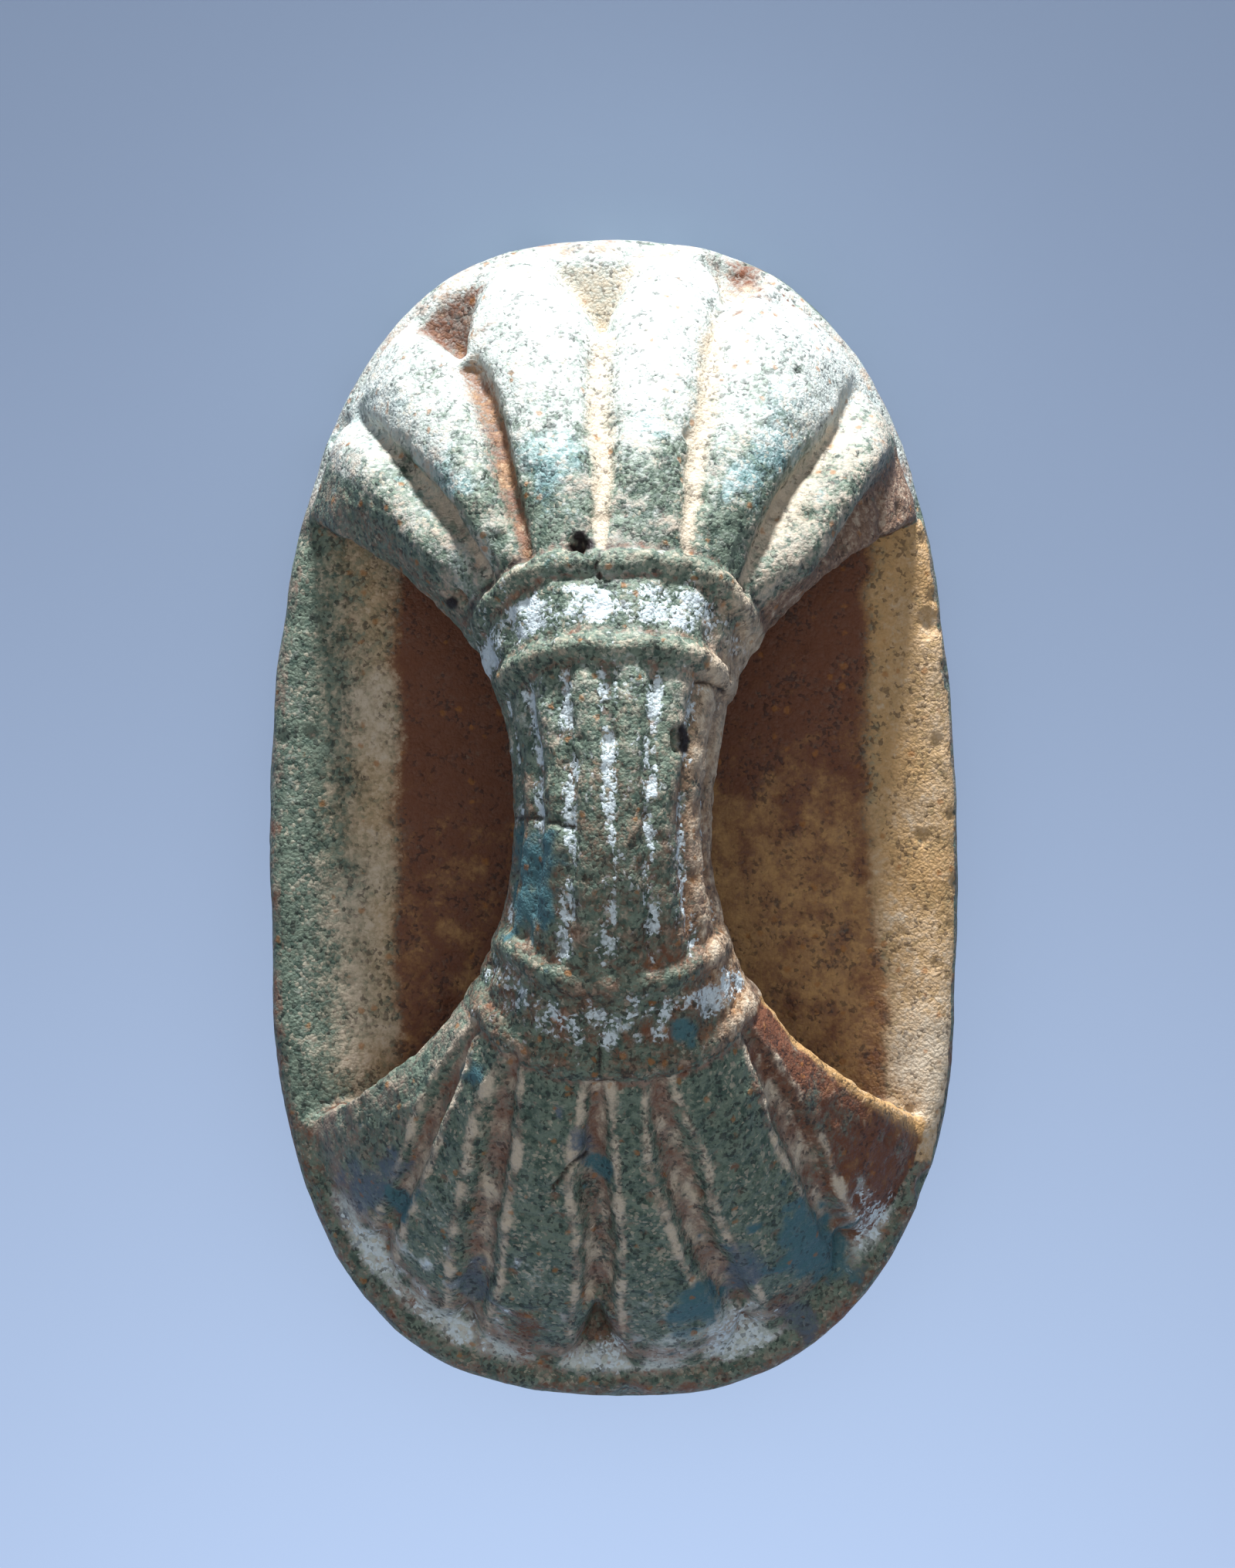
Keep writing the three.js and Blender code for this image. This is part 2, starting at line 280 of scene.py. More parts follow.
PATCH_STRENGTH = {"teal": 1.0, "slate": 0.85, "turquoise": 0.7, "pale": 1.0, "white": 0.6, "brown": 0.6}
PATCH_RAGGED = 0.8
PATCH_CORE = 0.35
PATCH_REACH = 1.3

# Random fields for the painting, as size of features, octaves and seed
RAGGED = (0.45, 4, 11)
BROAD = (1.6, 3, 12)
STREAK = (0.5, 3, 13)
STREAK_STRETCH = (2.0, 0.9, 0.9)

# Where one finish gives way to another. On the plate, in millimetres along it or out from the floor's edge
TUNNEL_END = 6.2
TOP_FACE_DEPTH = 0.25
TOP_FACE_UP = 0.5
FLOOR_EDGE_LEFT = -3.95
FLOOR_EDGE_RIGHT = 4.56
FLOOR_WIDENS = 0.33
FLOOR_WIDENING = (-0.5, 3.5)
FLOOR_RAGGED = 0.12
FLOOR_SOFT = (-0.25, 0.45)
# painted shade: where the floor turns browner and darker under the upper head
FLOOR_SHADE = (-1.5, 3.5)
WALL_CLEAR = 0.05
STRIP_SOFT = (-0.35, 0.3)
STRIP_INNER = 0.2
STRIP_INNER_LEFT = 1.1
STRIP_INNER_RIGHT = 2.6
STRIP_WIDE = (0.5, 2.0)
STRIP_PALES = (1.5, 4.5)
RIM_DEPTH = 0.6
RIM_UP = 0.9
RIM_FADE_LENGTH = 1.2
RIM_FADE_START = 0.3
RIM_FADE_RAGGED = 0.5
LOWER_RIM = (0.93, 0.965)

# On the bundle and the heads, in millimetres along them or degrees round them
BUNDLE_PALES = (-1.0, 3.5)
BUNDLE_SANDY = (25, 60)
FLUTE_FILLED = (0.1, 0.8)
DASHES = (-0.25, 0.2)
# where the upper head turns whiter: partly whitened glaze, partly a painted highlight
UPPER_WHITE_AND_HIGHLIGHT = (5.3, 8.6)
UPPER_CLEAN = (5.0, 6.5)
FLANK = (0.05, 0.25)
NOTCH_ENDS = (0.955, 0.98)
LOWER_RIGHT = (44, 70)
LOWER_RIGHT_EDGE = (84, 89)
LOWER_LEFT = (58, 75)
FACING_UP = 0.05
PIT_CORE = 0.3
PIT_RAGGED = 0.35
PIT_BLACK = 0.2
PIT_FAINTEST = 0.3
CRACK_CORE = 0.2
CRACK_REACH = 1.2
CRACK_RAGGED = 0.8
# darkest share of the painted shadow line beside the upper head's tie
SEAM_SHADOW_DARKEST = 0.8

# Layers of the material: the mask's start and end, and how widely the grain breaks its edge
UNDER_LAYERS = {"turquoise": (0.2, 1.0, 2.6), "pale": (0.15, 0.95, 3.0)}
OVER_LAYERS = {
    "taupe": (0.15, 1.0, 2.6),
    "brown": (0.15, 0.9, 2.4),
    "ochre": (0.1, 1.0, 1.6),
    "cream": (0.2, 1.0, 2.4),
    "slate": (0.2, 1.1, 2.2),
    "teal": (0.2, 1.0, 2.0),
}
WHITE_LAYER = (0.32, 0.75, 2.4)
BREAK_START = 0.25
CELLS_PER_MM = 16.0
RUST_PER_MM = 4.0
CELL_WOBBLE = 0.12
BUMP = 0.07

# Stage: the picture's frame and the camera over it
PHOTO_HEIGHT = 2031
PIXELS_PER_MM = 71.0
PICTURE_CENTRE = (0.06, 0.64)
PICTURE_LEVEL = 1.5
CAMERA_DISTANCE = 260.0
SENSOR = 36.0
CLIP = (0.01, 10.0)
FLOOR_SIZE = 2000.0
AIM = (0, 1, 4)
KEY = {"place": (0, 400, 68), "aim": AIM, "width": 50, "height": 30, "tone": (0.97, 0.99, 1.0)}
OVERHEAD = {"place": (0, -30, 340), "aim": AIM, "width": 260, "height": 260, "tone": (0.96, 0.98, 1.0)}
WASH = {"place": (0, -30, 45), "aim": (0, -30, 0), "width": 20, "height": 20, "tone": (1.0, 1.0, 1.0)}
ROOM = (0.85, 0.92, 1.0, 1.0)


def measure(name, description, default):
    return FloatProperty(name=name, description=description, unit="LENGTH", default=default)


def power(name, description, default):
    return FloatProperty(name=name, description=description, unit="POWER", default=default)


def colour(name, description, default):
    return FloatVectorProperty(
        name=name, description=description, subtype="COLOR", size=3, min=0.0, max=1.0, default=default,
    )


class AmuletSizes(bpy.types.PropertyGroup):
    """Sizes of the amulet that a carver would set."""

    length: measure("Length", "Plate, end to end", NODE_HIGH.y - NODE_LOW.y)
    width: measure("Width", "Plate, side to side", NODE_HIGH.x - NODE_LOW.x)
    height: measure("Height", "From the seal face to the crest of the handle", NODE_HIGH.z - NODE_LOW.z)
    plate: measure("Plate", "Thickness of the plate", 2.3 * MM)
    bundle: measure("Bundle", "Radius of the bundle of stalks", 1.78 * MM)
    tunnel: measure("Tunnel", "Height of the tunnel under the bundle", 3.3 * MM)
    tie: measure("Tie", "How far a tie stands out", 0.17 * MM)
    flute: measure("Flute", "Depth of the flutes between stalks", 0.15 * MM)
    grain: measure("Grain", "Height of the rough grain", 0.03 * MM)


class AmuletColours(bpy.types.PropertyGroup):
    """Colours of the glaze, of what shows where it has worn away, and of what lies in the carving."""

    glaze: colour("Glaze", "Grey-green glaze", (0.165, 0.21, 0.16))
    glaze_deep: colour("Deep glaze", "Darker green where the glaze is thick", (0.055, 0.09, 0.07))
    pale: colour("Pale glaze", "Whitened, weathered glaze", (0.56, 0.60, 0.57))
    cream: colour("Cream", "Bare body along edges and in shallow grooves", (0.57, 0.48, 0.37))
    ochre: colour("Ochre", "Yellow-brown body beside the tunnel", (0.52, 0.305, 0.125))
    taupe: colour("Taupe", "Dull earth in the channels", (0.27, 0.185, 0.145))
    brown: colour("Brown", "Earth-stained body", (0.155, 0.058, 0.03))
    white: colour("White", "White fill left in the flutes", (0.62, 0.70, 0.74))
    teal: colour("Teal", "Strong blue-green patches", (0.062, 0.145, 0.165))
    slate: colour("Slate", "Blue-grey smudges", (0.095, 0.13, 0.17))
    turquoise: colour("Turquoise", "Lighter patches on the upper head", (0.16, 0.33, 0.36))
    rust: colour("Rust", "Orange-brown specks", (0.33, 0.13, 0.03))
    # dark is also used for the painted shadow line beside the upper head's tie
    dark: colour("Dark", "Pits and cracks", (0.014, 0.009, 0.010))


class AmuletStage(bpy.types.PropertyGroup):
    """The floor and the lights round the amulet."""

    floor: colour("Floor", "Plain pale floor", (0.405, 0.515, 0.73))
    key: power("Key", "Power of the low light beyond the upper head", 4.8)
    fill: power("Fill", "Power of the soft light overhead", 0.35)
    wash: power("Wash", "Power of the low light on the floor", 0.026)
    ambient: FloatProperty(name="Ambient", description="Strength of the light all round", default=0.28)


def in_millimetres(sizes):
    """The sizes of a property group as plain numbers in millimetres."""
    return SimpleNamespace(**{name: getattr(sizes, name) / MM for name in sizes.__annotations__})


def lerp(start, end, share):
    return start + (end - start) * share


def smoothstep(value, low, high):
    share = np.clip((value - low) / (high - low), 0, 1)
    return share * share * (3 - 2 * share)


def half_width_at(y, inset, size):
    """Half the plate's width at places along it, drawn in from the edge by an inset."""
    upper = y > WIDEST_Y
    reach = size.length / 2 + np.where(upper, -WIDEST_Y, WIDEST_Y) - inset
    power = np.where(upper, UPPER_POWER, LOWER_POWER)
    share = np.minimum(1, np.abs(y - WIDEST_Y) / reach)
    return (size.width / 2 - inset) * (1 - share**power) ** (1 / power)


def rim_share(points, size):
    """How far points lie from the middle of the plate towards its outline, where the share is 1."""
    upper = points[:, 1] > WIDEST_Y
    reach = size.length / 2 + np.where(upper, -WIDEST_Y, WIDEST_Y)
    power = np.where(upper, UPPER_POWER, LOWER_POWER)
    x = np.abs(points[:, 0]) / (size.width / 2)
    y = np.abs(points[:, 1] - WIDEST_Y) / reach
    return (x**power + y**power) ** (1 / power)


def outline(inset, size):
    """Points once round the plate, drawn in from its edge by an inset."""
    angle = np.linspace(0, 2 * np.pi, OUTLINE_STEPS, endpoint=False)
    upper = np.sin(angle) > 0
    power = 2 / np.where(upper, UPPER_POWER, LOWER_POWER)
    reach = size.length / 2 + np.where(upper, -WIDEST_Y, WIDEST_Y) - inset
    x = (size.width / 2 - inset) * np.sign(np.cos(angle)) * np.abs(np.cos(angle)) ** power
    y = WIDEST_Y + reach * np.sign(np.sin(angle)) * np.abs(np.sin(angle)) ** power
    return x, y


def plate_body(size):
    """The plate as points and faces: rings up its rounded edge, closed by two flat faces."""
    turn = np.linspace(0, SIDE, EDGE_STEPS)
    insets = EDGE_ROUND * (1 - np.sin(turn))
    levels = EDGE_ROUND * (1 - np.cos(turn))
    profile = list(zip(insets, levels)) + list(zip(insets[::-1], size.plate - levels[::-1]))
    rings = []
    for inset, level in profile:
        x, y = outline(inset, size)
        rings.append(np.column_stack([x, y, np.full_like(x, level)]))
    count = OUTLINE_STEPS
    start = np.arange(count)
    after = (start + 1) % count
    faces = [start[::-1].tolist(), (start + (len(rings) - 1) * count).tolist()]
    for ring in range(len(rings) - 1):
        low = ring * count
        quads = np.column_stack([start + low, after + low, after + low + count, start + low + count])
        faces.extend(quads.tolist())
    return np.concatenate(rings), faces


def angle_of(petal, borders):
    """The angle round the bundle of lines counted in petals from one side to the other."""
    return np.radians(np.interp(petal, np.arange(PETALS + 1), borders))


def margin_at(around, upper):
    """How far inside the rim the petals end: least at the two sides of the fan."""
    outward = (np.abs(around) / SIDE) ** 4
    plain = lerp(per_head(upper, "margin"), per_head(upper, "side_margin"), outward)
    return plain + per_head(upper, "margin_swell") * np.sin(2 * around) ** 2


def rim_point(around, upper, size):
    """Where rays from the centre of the fan meet the foot of the petals, just inside the rim."""
    end = np.where(upper, 1, -1)
    turn = around / SIDE * FAN_REACH
    margin = margin_at(around, upper)
    near = np.zeros_like(turn)
    far = np.full_like(turn, size.length)
    for _ in range(RIM_SEARCH_STEPS):
        reach = (near + far) / 2
        y = end * (FAN_CENTRE_Y + reach * np.cos(turn))
        inside = reach * np.abs(np.sin(turn)) < half_width_at(y, margin, size)
        near = np.where(inside, reach, near)
        far = np.where(inside, far, reach)
    return near * np.sin(turn), end * (FAN_CENTRE_Y + near * np.cos(turn))


def plan_place(around, along, upper, size):
    """The plan of lines of the handle: a smooth curve from the middle of the bundle to the rim."""
    end = np.where(upper, 1, -1)
    aside = np.abs(around) / SIDE
    waist_x = size.bundle * np.sin(around)
    rim_x, rim_y = rim_point(around, upper, size)
    run = lerp(PETAL_RUN_MIDDLE, PETAL_RUN_SIDE, aside)
    arrive = around / SIDE * FAN_REACH * lerp(per_head(upper, "middle_turn"), SIDE_TURN, aside**2)
    arrive_x = rim_x - run * np.sin(arrive)
    arrive_y = rim_y - run * end * np.cos(arrive)
    rest = 1 - along
    x = (rest**3 + 3 * rest**2 * along) * waist_x + 3 * rest * along**2 * arrive_x + along**3 * rim_x
    y = 3 * rest**2 * along * end * STALK_RUN + 3 * rest * along**2 * arrive_y + along**3 * rim_y
    return x, y


def crest_height(y, upper, size):
    reach = np.where(upper, UPPER.crest_reach, LOWER.crest_reach)
    fall = np.maximum(0, 1 - (y / reach) ** 2)
    return size.plate + (size.height - size.plate) * fall**CREST_POWER


def edge_height(y, size):
    return size.plate + EDGE_RISE * np.sqrt(np.maximum(0, 1 - (y / EDGE_REACH) ** 2))


def per_head(upper, name):
    return np.where(upper, getattr(UPPER, name), getattr(LOWER, name))


def each(index, upper, name):
    """A value that every petal or groove has for itself, looked up by its number."""
    return np.where(upper, np.take(getattr(UPPER, name), index), np.take(getattr(LOWER, name), index))


def surface_frame(points):
    """Unit normals of a grid of points, and the length of a step across it and along it."""
    across = np.gradient(points, axis=1)
    along = np.gradient(points, axis=0)
    normal = np.cross(across, along)
    normal /= np.maximum(np.linalg.norm(normal, axis=2, keepdims=True), 1e-9)
    return normal, np.linalg.norm(across, axis=2), np.linalg.norm(along, axis=2)


def petal_angle(petal, along, upper):
    """The angle round the bundle of lines counted in petals, as they fan out towards the rim."""
    waist = angle_of(petal, WAIST_BORDERS)
    neck = np.where(upper, angle_of(petal, UPPER.neck), angle_of(petal, LOWER.neck))
    rim = np.where(upper, angle_of(petal, UPPER.borders), angle_of(petal, LOWER.borders))
    return lerp(lerp(waist, neck, smoothstep(along, 0, NECK)), rim, smoothstep(along, NECK, 1))


def past_tie(along, around, upper, which):
    """How far along the handle points lie past a tie, less than 0 before it."""
    at = np.where(upper, UPPER.ties[which][0], LOWER.ties[which][0])
    trail = np.where(upper, UPPER.ties[which][1], LOWER.ties[which][1])
    return along - at - trail * np.sin(around) ** 2


def handle_grid(size):
    """The carved upper surface of the handle, with what each point of it belongs to."""
    petals = np.linspace(0, PETALS, GRID_ACROSS)
    petal, signed = np.meshgrid(petals, np.linspace(-1, 1, GRID_ALONG))
    upper = signed >= 0
    along = np.abs(signed)
    around = petal_angle(petal, along, upper)
    x, y = plan_place(around, along, upper, size)
    side_y = plan_place(np.full_like(along, SIDE), along, upper, size)[1]
    middle_y = plan_place(np.zeros_like(along), along, upper, size)[1]
    dropped = per_head(upper, "shoulder_drop") * smoothstep(around, *SHOULDER)
    dropped *= smoothstep(along, *SHOULDER_RUN)
    rise = np.cos(around) * (1 - dropped)
    smooth_z = lerp(edge_height(side_y, size), crest_height(middle_y, upper, size), rise)

    wander = sum(height * np.sin(turns * signed + across * petal) for height, turns, across in LINE_WAVES)
    hand = petal + wander * smoothstep(along, NECK, WAVES_FULL)
    groove = np.clip(np.rint(hand), 1, PETALS - 1).astype(int)
    aside = np.abs(hand - groove)
    number = np.clip(np.floor(hand), 0, PETALS - 1).astype(int)
    within = np.clip(hand - number, 0, 1)
    start = each(groove, upper, "notch_start")
    opened = np.clip((along - start) / (1 - np.minimum(start, NOTCH_NONE)), 0, 1)
    share = np.maximum(each(groove, upper, "notch_share") * opened, 1e-6)
    notch = np.where(opened > 0, 1 - smoothstep(aside, NOTCH_FLOOR * share, share), 0)
    ends = along + per_head(upper, "tip_round") * np.abs(2 * within - 1) ** 3
    tip = np.clip((ends - TIP_START) / (1 - TIP_START), 0, 1)
    kept = np.sqrt(1 - tip**2) * (1 - each(groove, upper, "notch_cut") * notch)
    z = lerp(size.plate + FOOT_HEIGHT, smooth_z, kept)
    points = np.stack([x, y, z], axis=2)
    normal, step_across, step_along = surface_frame(points)

    past = past_tie(along, around, upper, 0)
    grown = smoothstep(past, 0, CROWN_RUN)
    begun = smoothstep(past, 0, GROOVE_RUN)
    gap = aside * step_across * (GRID_ACROSS - 1) / PETALS
    half = each(groove, upper, "groove_half") * lerp(GROOVE_START_WIDTH, 1, grown)
    floor = each(groove, upper, "groove_floor")
    channel = begun * (1 - smoothstep(gap, floor * half, half))
    lip = begun * np.exp(-(((gap - LIP_AT * half) / LIP_WIDTH) ** 2))
    ridge = each(number, upper, "ridge_at")
    off_ridge = np.abs(within - ridge) / np.where(within < ridge, ridge, 1 - ridge)
    crown = each(number, upper, "crown") * grown * (1 - off_ridge**CROWN_POWER)
    crown *= (1 - CROWN_FALL * smoothstep(along, CROWN_FALL_START, 1)) * (1 - dropped)
    depth = each(groove, upper, "groove_depth") * lerp(GROOVE_START_DEPTH, 1, grown)

    run = step_along * (GRID_ALONG - 1) / 2
    tie = np.zeros_like(along)
    gutter = np.zeros_like(along)
    gutter_at = GUTTER_AT * TIE_HALF_WIDTH
    for which in (0, 1):
        offset = np.abs(past_tie(along, around, upper, which)) * run
        tie = np.maximum(tie, np.exp(-((offset / TIE_HALF_WIDTH) ** TIE_POWER)))
        gutter = np.maximum(gutter, np.exp(-(((offset - gutter_at) / GUTTER_HALF_WIDTH) ** 2)))
    # the line beside the outer tie on the head's side, where shadow is painted
    seam = np.exp(-(((past * run - gutter_at) / GUTTER_HALF_WIDTH) ** 2))
    past_inner = past_tie(along, around, upper, 1)
    between = smoothstep(past_inner, *BAND_EDGE) * smoothstep(-past, *BAND_EDGE)
    degrees = np.degrees(around)
    stalk_groove = ((1 + np.cos(2 * np.pi * (degrees - STALK_OFFSET) / STALK_PITCH)) / 2) ** 2
    on_stalks = smoothstep(-past_inner, *STALK_EDGE)
    flute = stalk_groove * (on_stalks + BAND_FLUTE * between)
    block = np.zeros_like(along)
    for middle in BLOCKS:
        beside = smoothstep(np.abs(degrees - middle), BLOCK_TOP * BLOCK_HALF_ANGLE, BLOCK_HALF_ANGLE)
        block = np.maximum(block, 1 - beside)
    block *= between * upper

    relief = kept * (crown - depth * channel + per_head(upper, "lip") * lip)
    tie *= smoothstep(np.cos(around), *TIE_ENDS) * per_head(upper, "tie_rise")
    relief += size.tie * tie - TIE_GUTTER * gutter - size.flute * flute + BLOCK_RISE * block
    carved = points + normal * relief[..., None]
    carved[..., 2] = np.minimum(carved[..., 2], size.height)
    last = number == PETALS - 1
    fields = {
        "degrees": degrees, "past": past, "upper": upper, "channel": channel * (1 - tip), "lip": lip * kept,
        "stain": each(groove, upper, "groove_stain"), "notch": notch, "last": last,
        "ledge": np.exp(-(((tip - LEDGE_AT) / LEDGE_WIDTH) ** 2)) * (past > 0),
        "outer_flank": np.where(number == 0, ridge - within, np.where(last, within - ridge, -1)),
        "tie": tie, "gutter": gutter, "seam": seam, "flute": flute, "between": between, "block": block,
    }
    return carved, around, {name: field.ravel() for name, field in fields.items()}


def under_surface(top, around, size):
    """The underside of the handle: the ceiling of the tunnel, and a floor buried in the plate beyond it."""
    y = top[..., 1]
    inside = np.abs(y) < TUNNEL_REACH
    arch = np.sqrt(np.maximum(0, 1 - (y / TUNNEL_REACH) ** 2))
    ceiling = lerp(size.plate + size.tunnel * arch, edge_height(y, size) - SIDE_WALL,
                   np.abs(np.sin(around)) ** BELLY_POWER)
    z = np.where(inside, np.minimum(ceiling, top[..., 2] - SIDE_WALL), BURIED_Z)
    under = top.copy()
    under[..., 2] = z
    return under


def handle_body(top, under):
    """A closed body between the upper surface and the underside, as points and faces."""
    rows, across = top.shape[:2]
    count = rows * across
    index = np.arange(count).reshape(rows, across)
    a, b, c, d = index[:-1, :-1], index[:-1, 1:], index[1:, 1:], index[1:, :-1]
    quads = [
        np.stack([a, b, c, d], axis=-1).reshape(-1, 4),
        np.stack([a, d, c, b], axis=-1).reshape(-1, 4) + count,
    ]
    border = np.concatenate([index[0, :-1], index[:-1, -1], index[-1, :0:-1], index[:0:-1, 0]])
    after = np.roll(border, -1)
    quads.append(np.column_stack([after, border, border + count, after + count]))
    points = np.concatenate([top.reshape(-1, 3), under.reshape(-1, 3)])
    return points, np.concatenate(quads).tolist()


def baked(obj):
    """The mesh of an object with its modifiers worked in."""
    bpy.context.view_layer.update()
    return bpy.data.meshes.new_from_object(obj.evaluated_get(bpy.context.evaluated_depsgraph_get()))


def read_points(mesh):
    points = np.empty(len(mesh.vertices) * 3, np.float32)
    mesh.vertices.foreach_get("co", points)
    return points.reshape(-1, 3).astype(float)


def read_normals(mesh):
    normals = np.empty(len(mesh.vertices) * 3, np.float32)
    mesh.vertex_normals.foreach_get("vector", normals)
    return normals.reshape(-1, 3).astype(float)


def tree_of(points):
    tree = kdtree.KDTree(len(points))
    for index, point in enumerate(points):
        tree.insert(point, index)
    tree.balance()
    return tree


def nearest(tree, points):
    """For each point the index of the nearest one in the tree, and how far it is."""
    found = [tree.find(point)[1:] for point in points]
    return np.array([f[0] for f in found]), np.array([f[1] for f in found])


def hollows(mesh, points, normals):
    """How hollow the surface is at each point, from -1 on sharp edges to 1 in crevices."""
    ends = np.empty(len(mesh.edges) * 2, np.int32)
    mesh.edges.foreach_get("vertices", ends)
    first, second = ends.reshape(-1, 2).T
    joined = np.bincount(ends, minlength=len(points))
    smooth = points.copy()
    for _ in range(HOLLOW_PASSES):
        total = np.empty_like(smooth)
        for axis in range(3):
            total[:, axis] = np.bincount(first, smooth[second, axis], len(points))
            total[:, axis] += np.bincount(second, smooth[first, axis], len(points))
        smooth = total / np.maximum(joined, 1)[:, None]
    depth = np.sum((smooth - points) * normals, axis=1)
    return np.clip(depth / HOLLOW_DEPTH, -1, 1)


def random_field(points, size, octaves, seed):
    """Smooth random values, about -1 to 1, with features of a given size."""
    shift = Vector((17.3, 5.1, 9.7)) * seed
    return np.array([noise.fractal(Vector(point) / size + shift, 1.0, 2.0, octaves) for point in points])


def layered(points, layers, seed):
    """Random fields of several sizes laid over each other, each with a seed of its own."""
    fields = (
        height * random_field(points, size, octaves, seed + number)
        for number, (height, size, octaves) in enumerate(layers)
    )
    return sum(fields)


def dent(points, normals, centre, radius, depth):
    """Presses a round dent into the surface round a point."""
    distance = np.linalg.norm(points - centre, axis=1)
    share = np.clip(1 - (distance / radius) ** 2, 0, 1)
    return -depth * (share**DENT_POWER)[:, None] * normals


def distance_to_line(xy, line):
    """How far points on the plan lie from a line of several straight stretches."""
    best = np.full(len(xy), np.inf)
    for start, end in zip(line[:-1], line[1:]):
        start = np.array(start)
        way = np.array(end) - start
        share = np.clip((xy - start) @ way / (way @ way), 0, 1)
        best = np.minimum(best, np.linalg.norm(xy - start - share[:, None] * way, axis=1))
    return best


def upper_point(points, tree_xy, x, y):
    """The highest surface point over a place on the plan."""
    near = [index for _, index, _ in tree_xy.find_range((x, y, 0), REACH_OVER)]
    if not near:
        near = [tree_xy.find((x, y, 0))[1]]
    return points[max(near, key=lambda index: points[index][2])]


def weather(points, normals, size):
    """Wears the carved surface: hand-made unevenness, grain, pits, cracks and chips."""
    rng = np.random.default_rng(SEED)
    facing = np.clip(normals[:, 2], 0, 1)
    off_base = smoothstep(points[:, 2], *BASE_KEPT)
    on_handle = smoothstep(points[:, 2] - size.plate, *HANDLE_STARTS)
    uneven = layered(points, UNEVEN, 1)
    grain = size.grain * layered(points, GRAIN, 1 + len(UNEVEN))
    moved = points + normals * ((uneven + grain * lerp(PLATE_GRAIN, 1, on_handle)) * off_base)[:, None]

    flat = np.column_stack([points[:, 0], points[:, 1], np.zeros(len(points))])
    up_index = np.flatnonzero(normals[:, 2] > 0.1)
    tree_xy = tree_of(flat[up_index])
    tree = tree_of(points)

    def press(centre, radius, depth):
        near = np.array([index for _, index, _ in tree.find_range(centre, radius)])
        if len(near):
            moved[near] += dent(points[near], normals[near], centre, radius, depth)

    for x, y, radius, depth in PITS + CHIPS:
        press(upper_point(points[up_index], tree_xy, x, y), radius, depth)
    pitted = rng.choice(up_index, PIT_COUNT, replace=False)
    for index, radius in zip(pitted, rng.uniform(*PIT_RADII, PIT_COUNT)):
        press(points[index], radius, PIT_DEPTH * radius)
    on_rim = np.abs(points[:, 0]) > NICK_INSIDE * half_width_at(points[:, 1], 0.0, size)
    on_rim &= np.abs(points[:, 2] - size.plate) < NICK_BAND
    on_rim &= np.abs(normals[:, 2]) < NICK_UP
    nicked = rng.choice(np.flatnonzero(on_rim), NICK_COUNT)
    for index, radius in zip(nicked, rng.uniform(*NICK_RADII, NICK_COUNT)):
        press(points[index], radius, NICK_DEPTH * radius)
    for line in CRACKS:
        away = distance_to_line(points[:, :2], line)
        split = np.clip(1 - away / CRACK_HALF_WIDTH, 0, 1) * facing
        split *= points[:, 2] > size.plate + CRACK_CLEAR
        moved -= CRACK_DEPTH * split[:, None] * normals
    moved[:, 2] = np.maximum(moved[:, 2], 0)
    return moved


def patches(xy, places, ragged):
    """1 inside round patches on the plan and 0 outside, with ragged edges."""
    shade = np.zeros(len(xy))
    for x, y, radius in places:
        distance = np.hypot(xy[:, 0] - x, xy[:, 1] - y) * (1 + PATCH_RAGGED * ragged)
        shade = np.maximum(shade, 1 - smoothstep(distance, PATCH_CORE * radius, PATCH_REACH * radius))
    return shade


class Spot(SimpleNamespace):
    """What lies at every point of the surface, and how much of each finish it shows, from 0 to 1."""

    def mix(self, plain, **shares):
        """A plain share, and so much more or less of it for each named field."""
        return plain + sum(share * getattr(self, name) for name, share in shares.items())

    def lay(self, finish, where, plain=1.0, **shares):
        self.coats[finish] = np.maximum(self.coats[finish], where * self.mix(plain, **shares))

    def wipe(self, finish, where, plain=1.0):
        self.coats[finish] = self.coats[finish] * (1 - plain * where)


def paint_floor(spot, size):
    """The brown floor of the tunnel with a painted shade under the upper head, its walls brown body with
    painted shade, and the paler strips beside the floor.
    """
    middle = spot.top_face & (np.abs(spot.y) < TUNNEL_END)
    left = spot.x < 0
    right_edge = FLOOR_EDGE_RIGHT + FLOOR_WIDENS * smoothstep(-spot.y, *FLOOR_WIDENING)
    outward = np.abs(spot.x) - np.where(left, -FLOOR_EDGE_LEFT, right_edge)
    outward = outward + FLOOR_RAGGED * (spot.ragged + spot.broad)
    floor = middle * (1 - smoothstep(outward, *FLOOR_SOFT))
    # brown on the tunnel's ceiling and inner walls: partly bare body, partly painted shade under the handle
    walls = ~spot.on_handle & ~spot.top_face & (spot.z > size.plate + WALL_CLEAR)
    spot.lay("brown", floor)
    spot.lay("brown", walls, 0.95)
    # painted shade: less ochre, so a browner and darker floor, under the upper head
    spot.shaded = smoothstep(spot.y, *FLOOR_SHADE)
    spot.lay("ochre", floor * left, 0.25, shaded=-0.6, ragged=0.3)
    spot.lay("ochre", floor * ~left, 0.54, shaded=-0.6, ragged=0.3)

    strip = middle * smoothstep(outward, *STRIP_SOFT)
    spot.inner = 1 - smoothstep(outward, STRIP_INNER, np.where(left, STRIP_INNER_LEFT, STRIP_INNER_RIGHT))
    spot.wide = 1 - smoothstep(outward, *STRIP_WIDE)
    spot.downward = smoothstep(-spot.y, *STRIP_PALES)
    spot.lay("ochre", strip * left, 0.1, inner=0.24, wide=0.28)
    spot.lay("pale", strip * left, 0.04, broad=0.2)
    spot.lay("cream", strip * left, 0.08, wide=0.45, broad=0.25)
    spot.lay("ochre", strip * ~left, 0.62, inner=0.25)
    spot.lay("pale", strip * ~left, 0.4, downward=0.3, broad=0.2)
    spot.lay("cream", strip * ~left, 0.35, downward=0.3, broad=0.25)


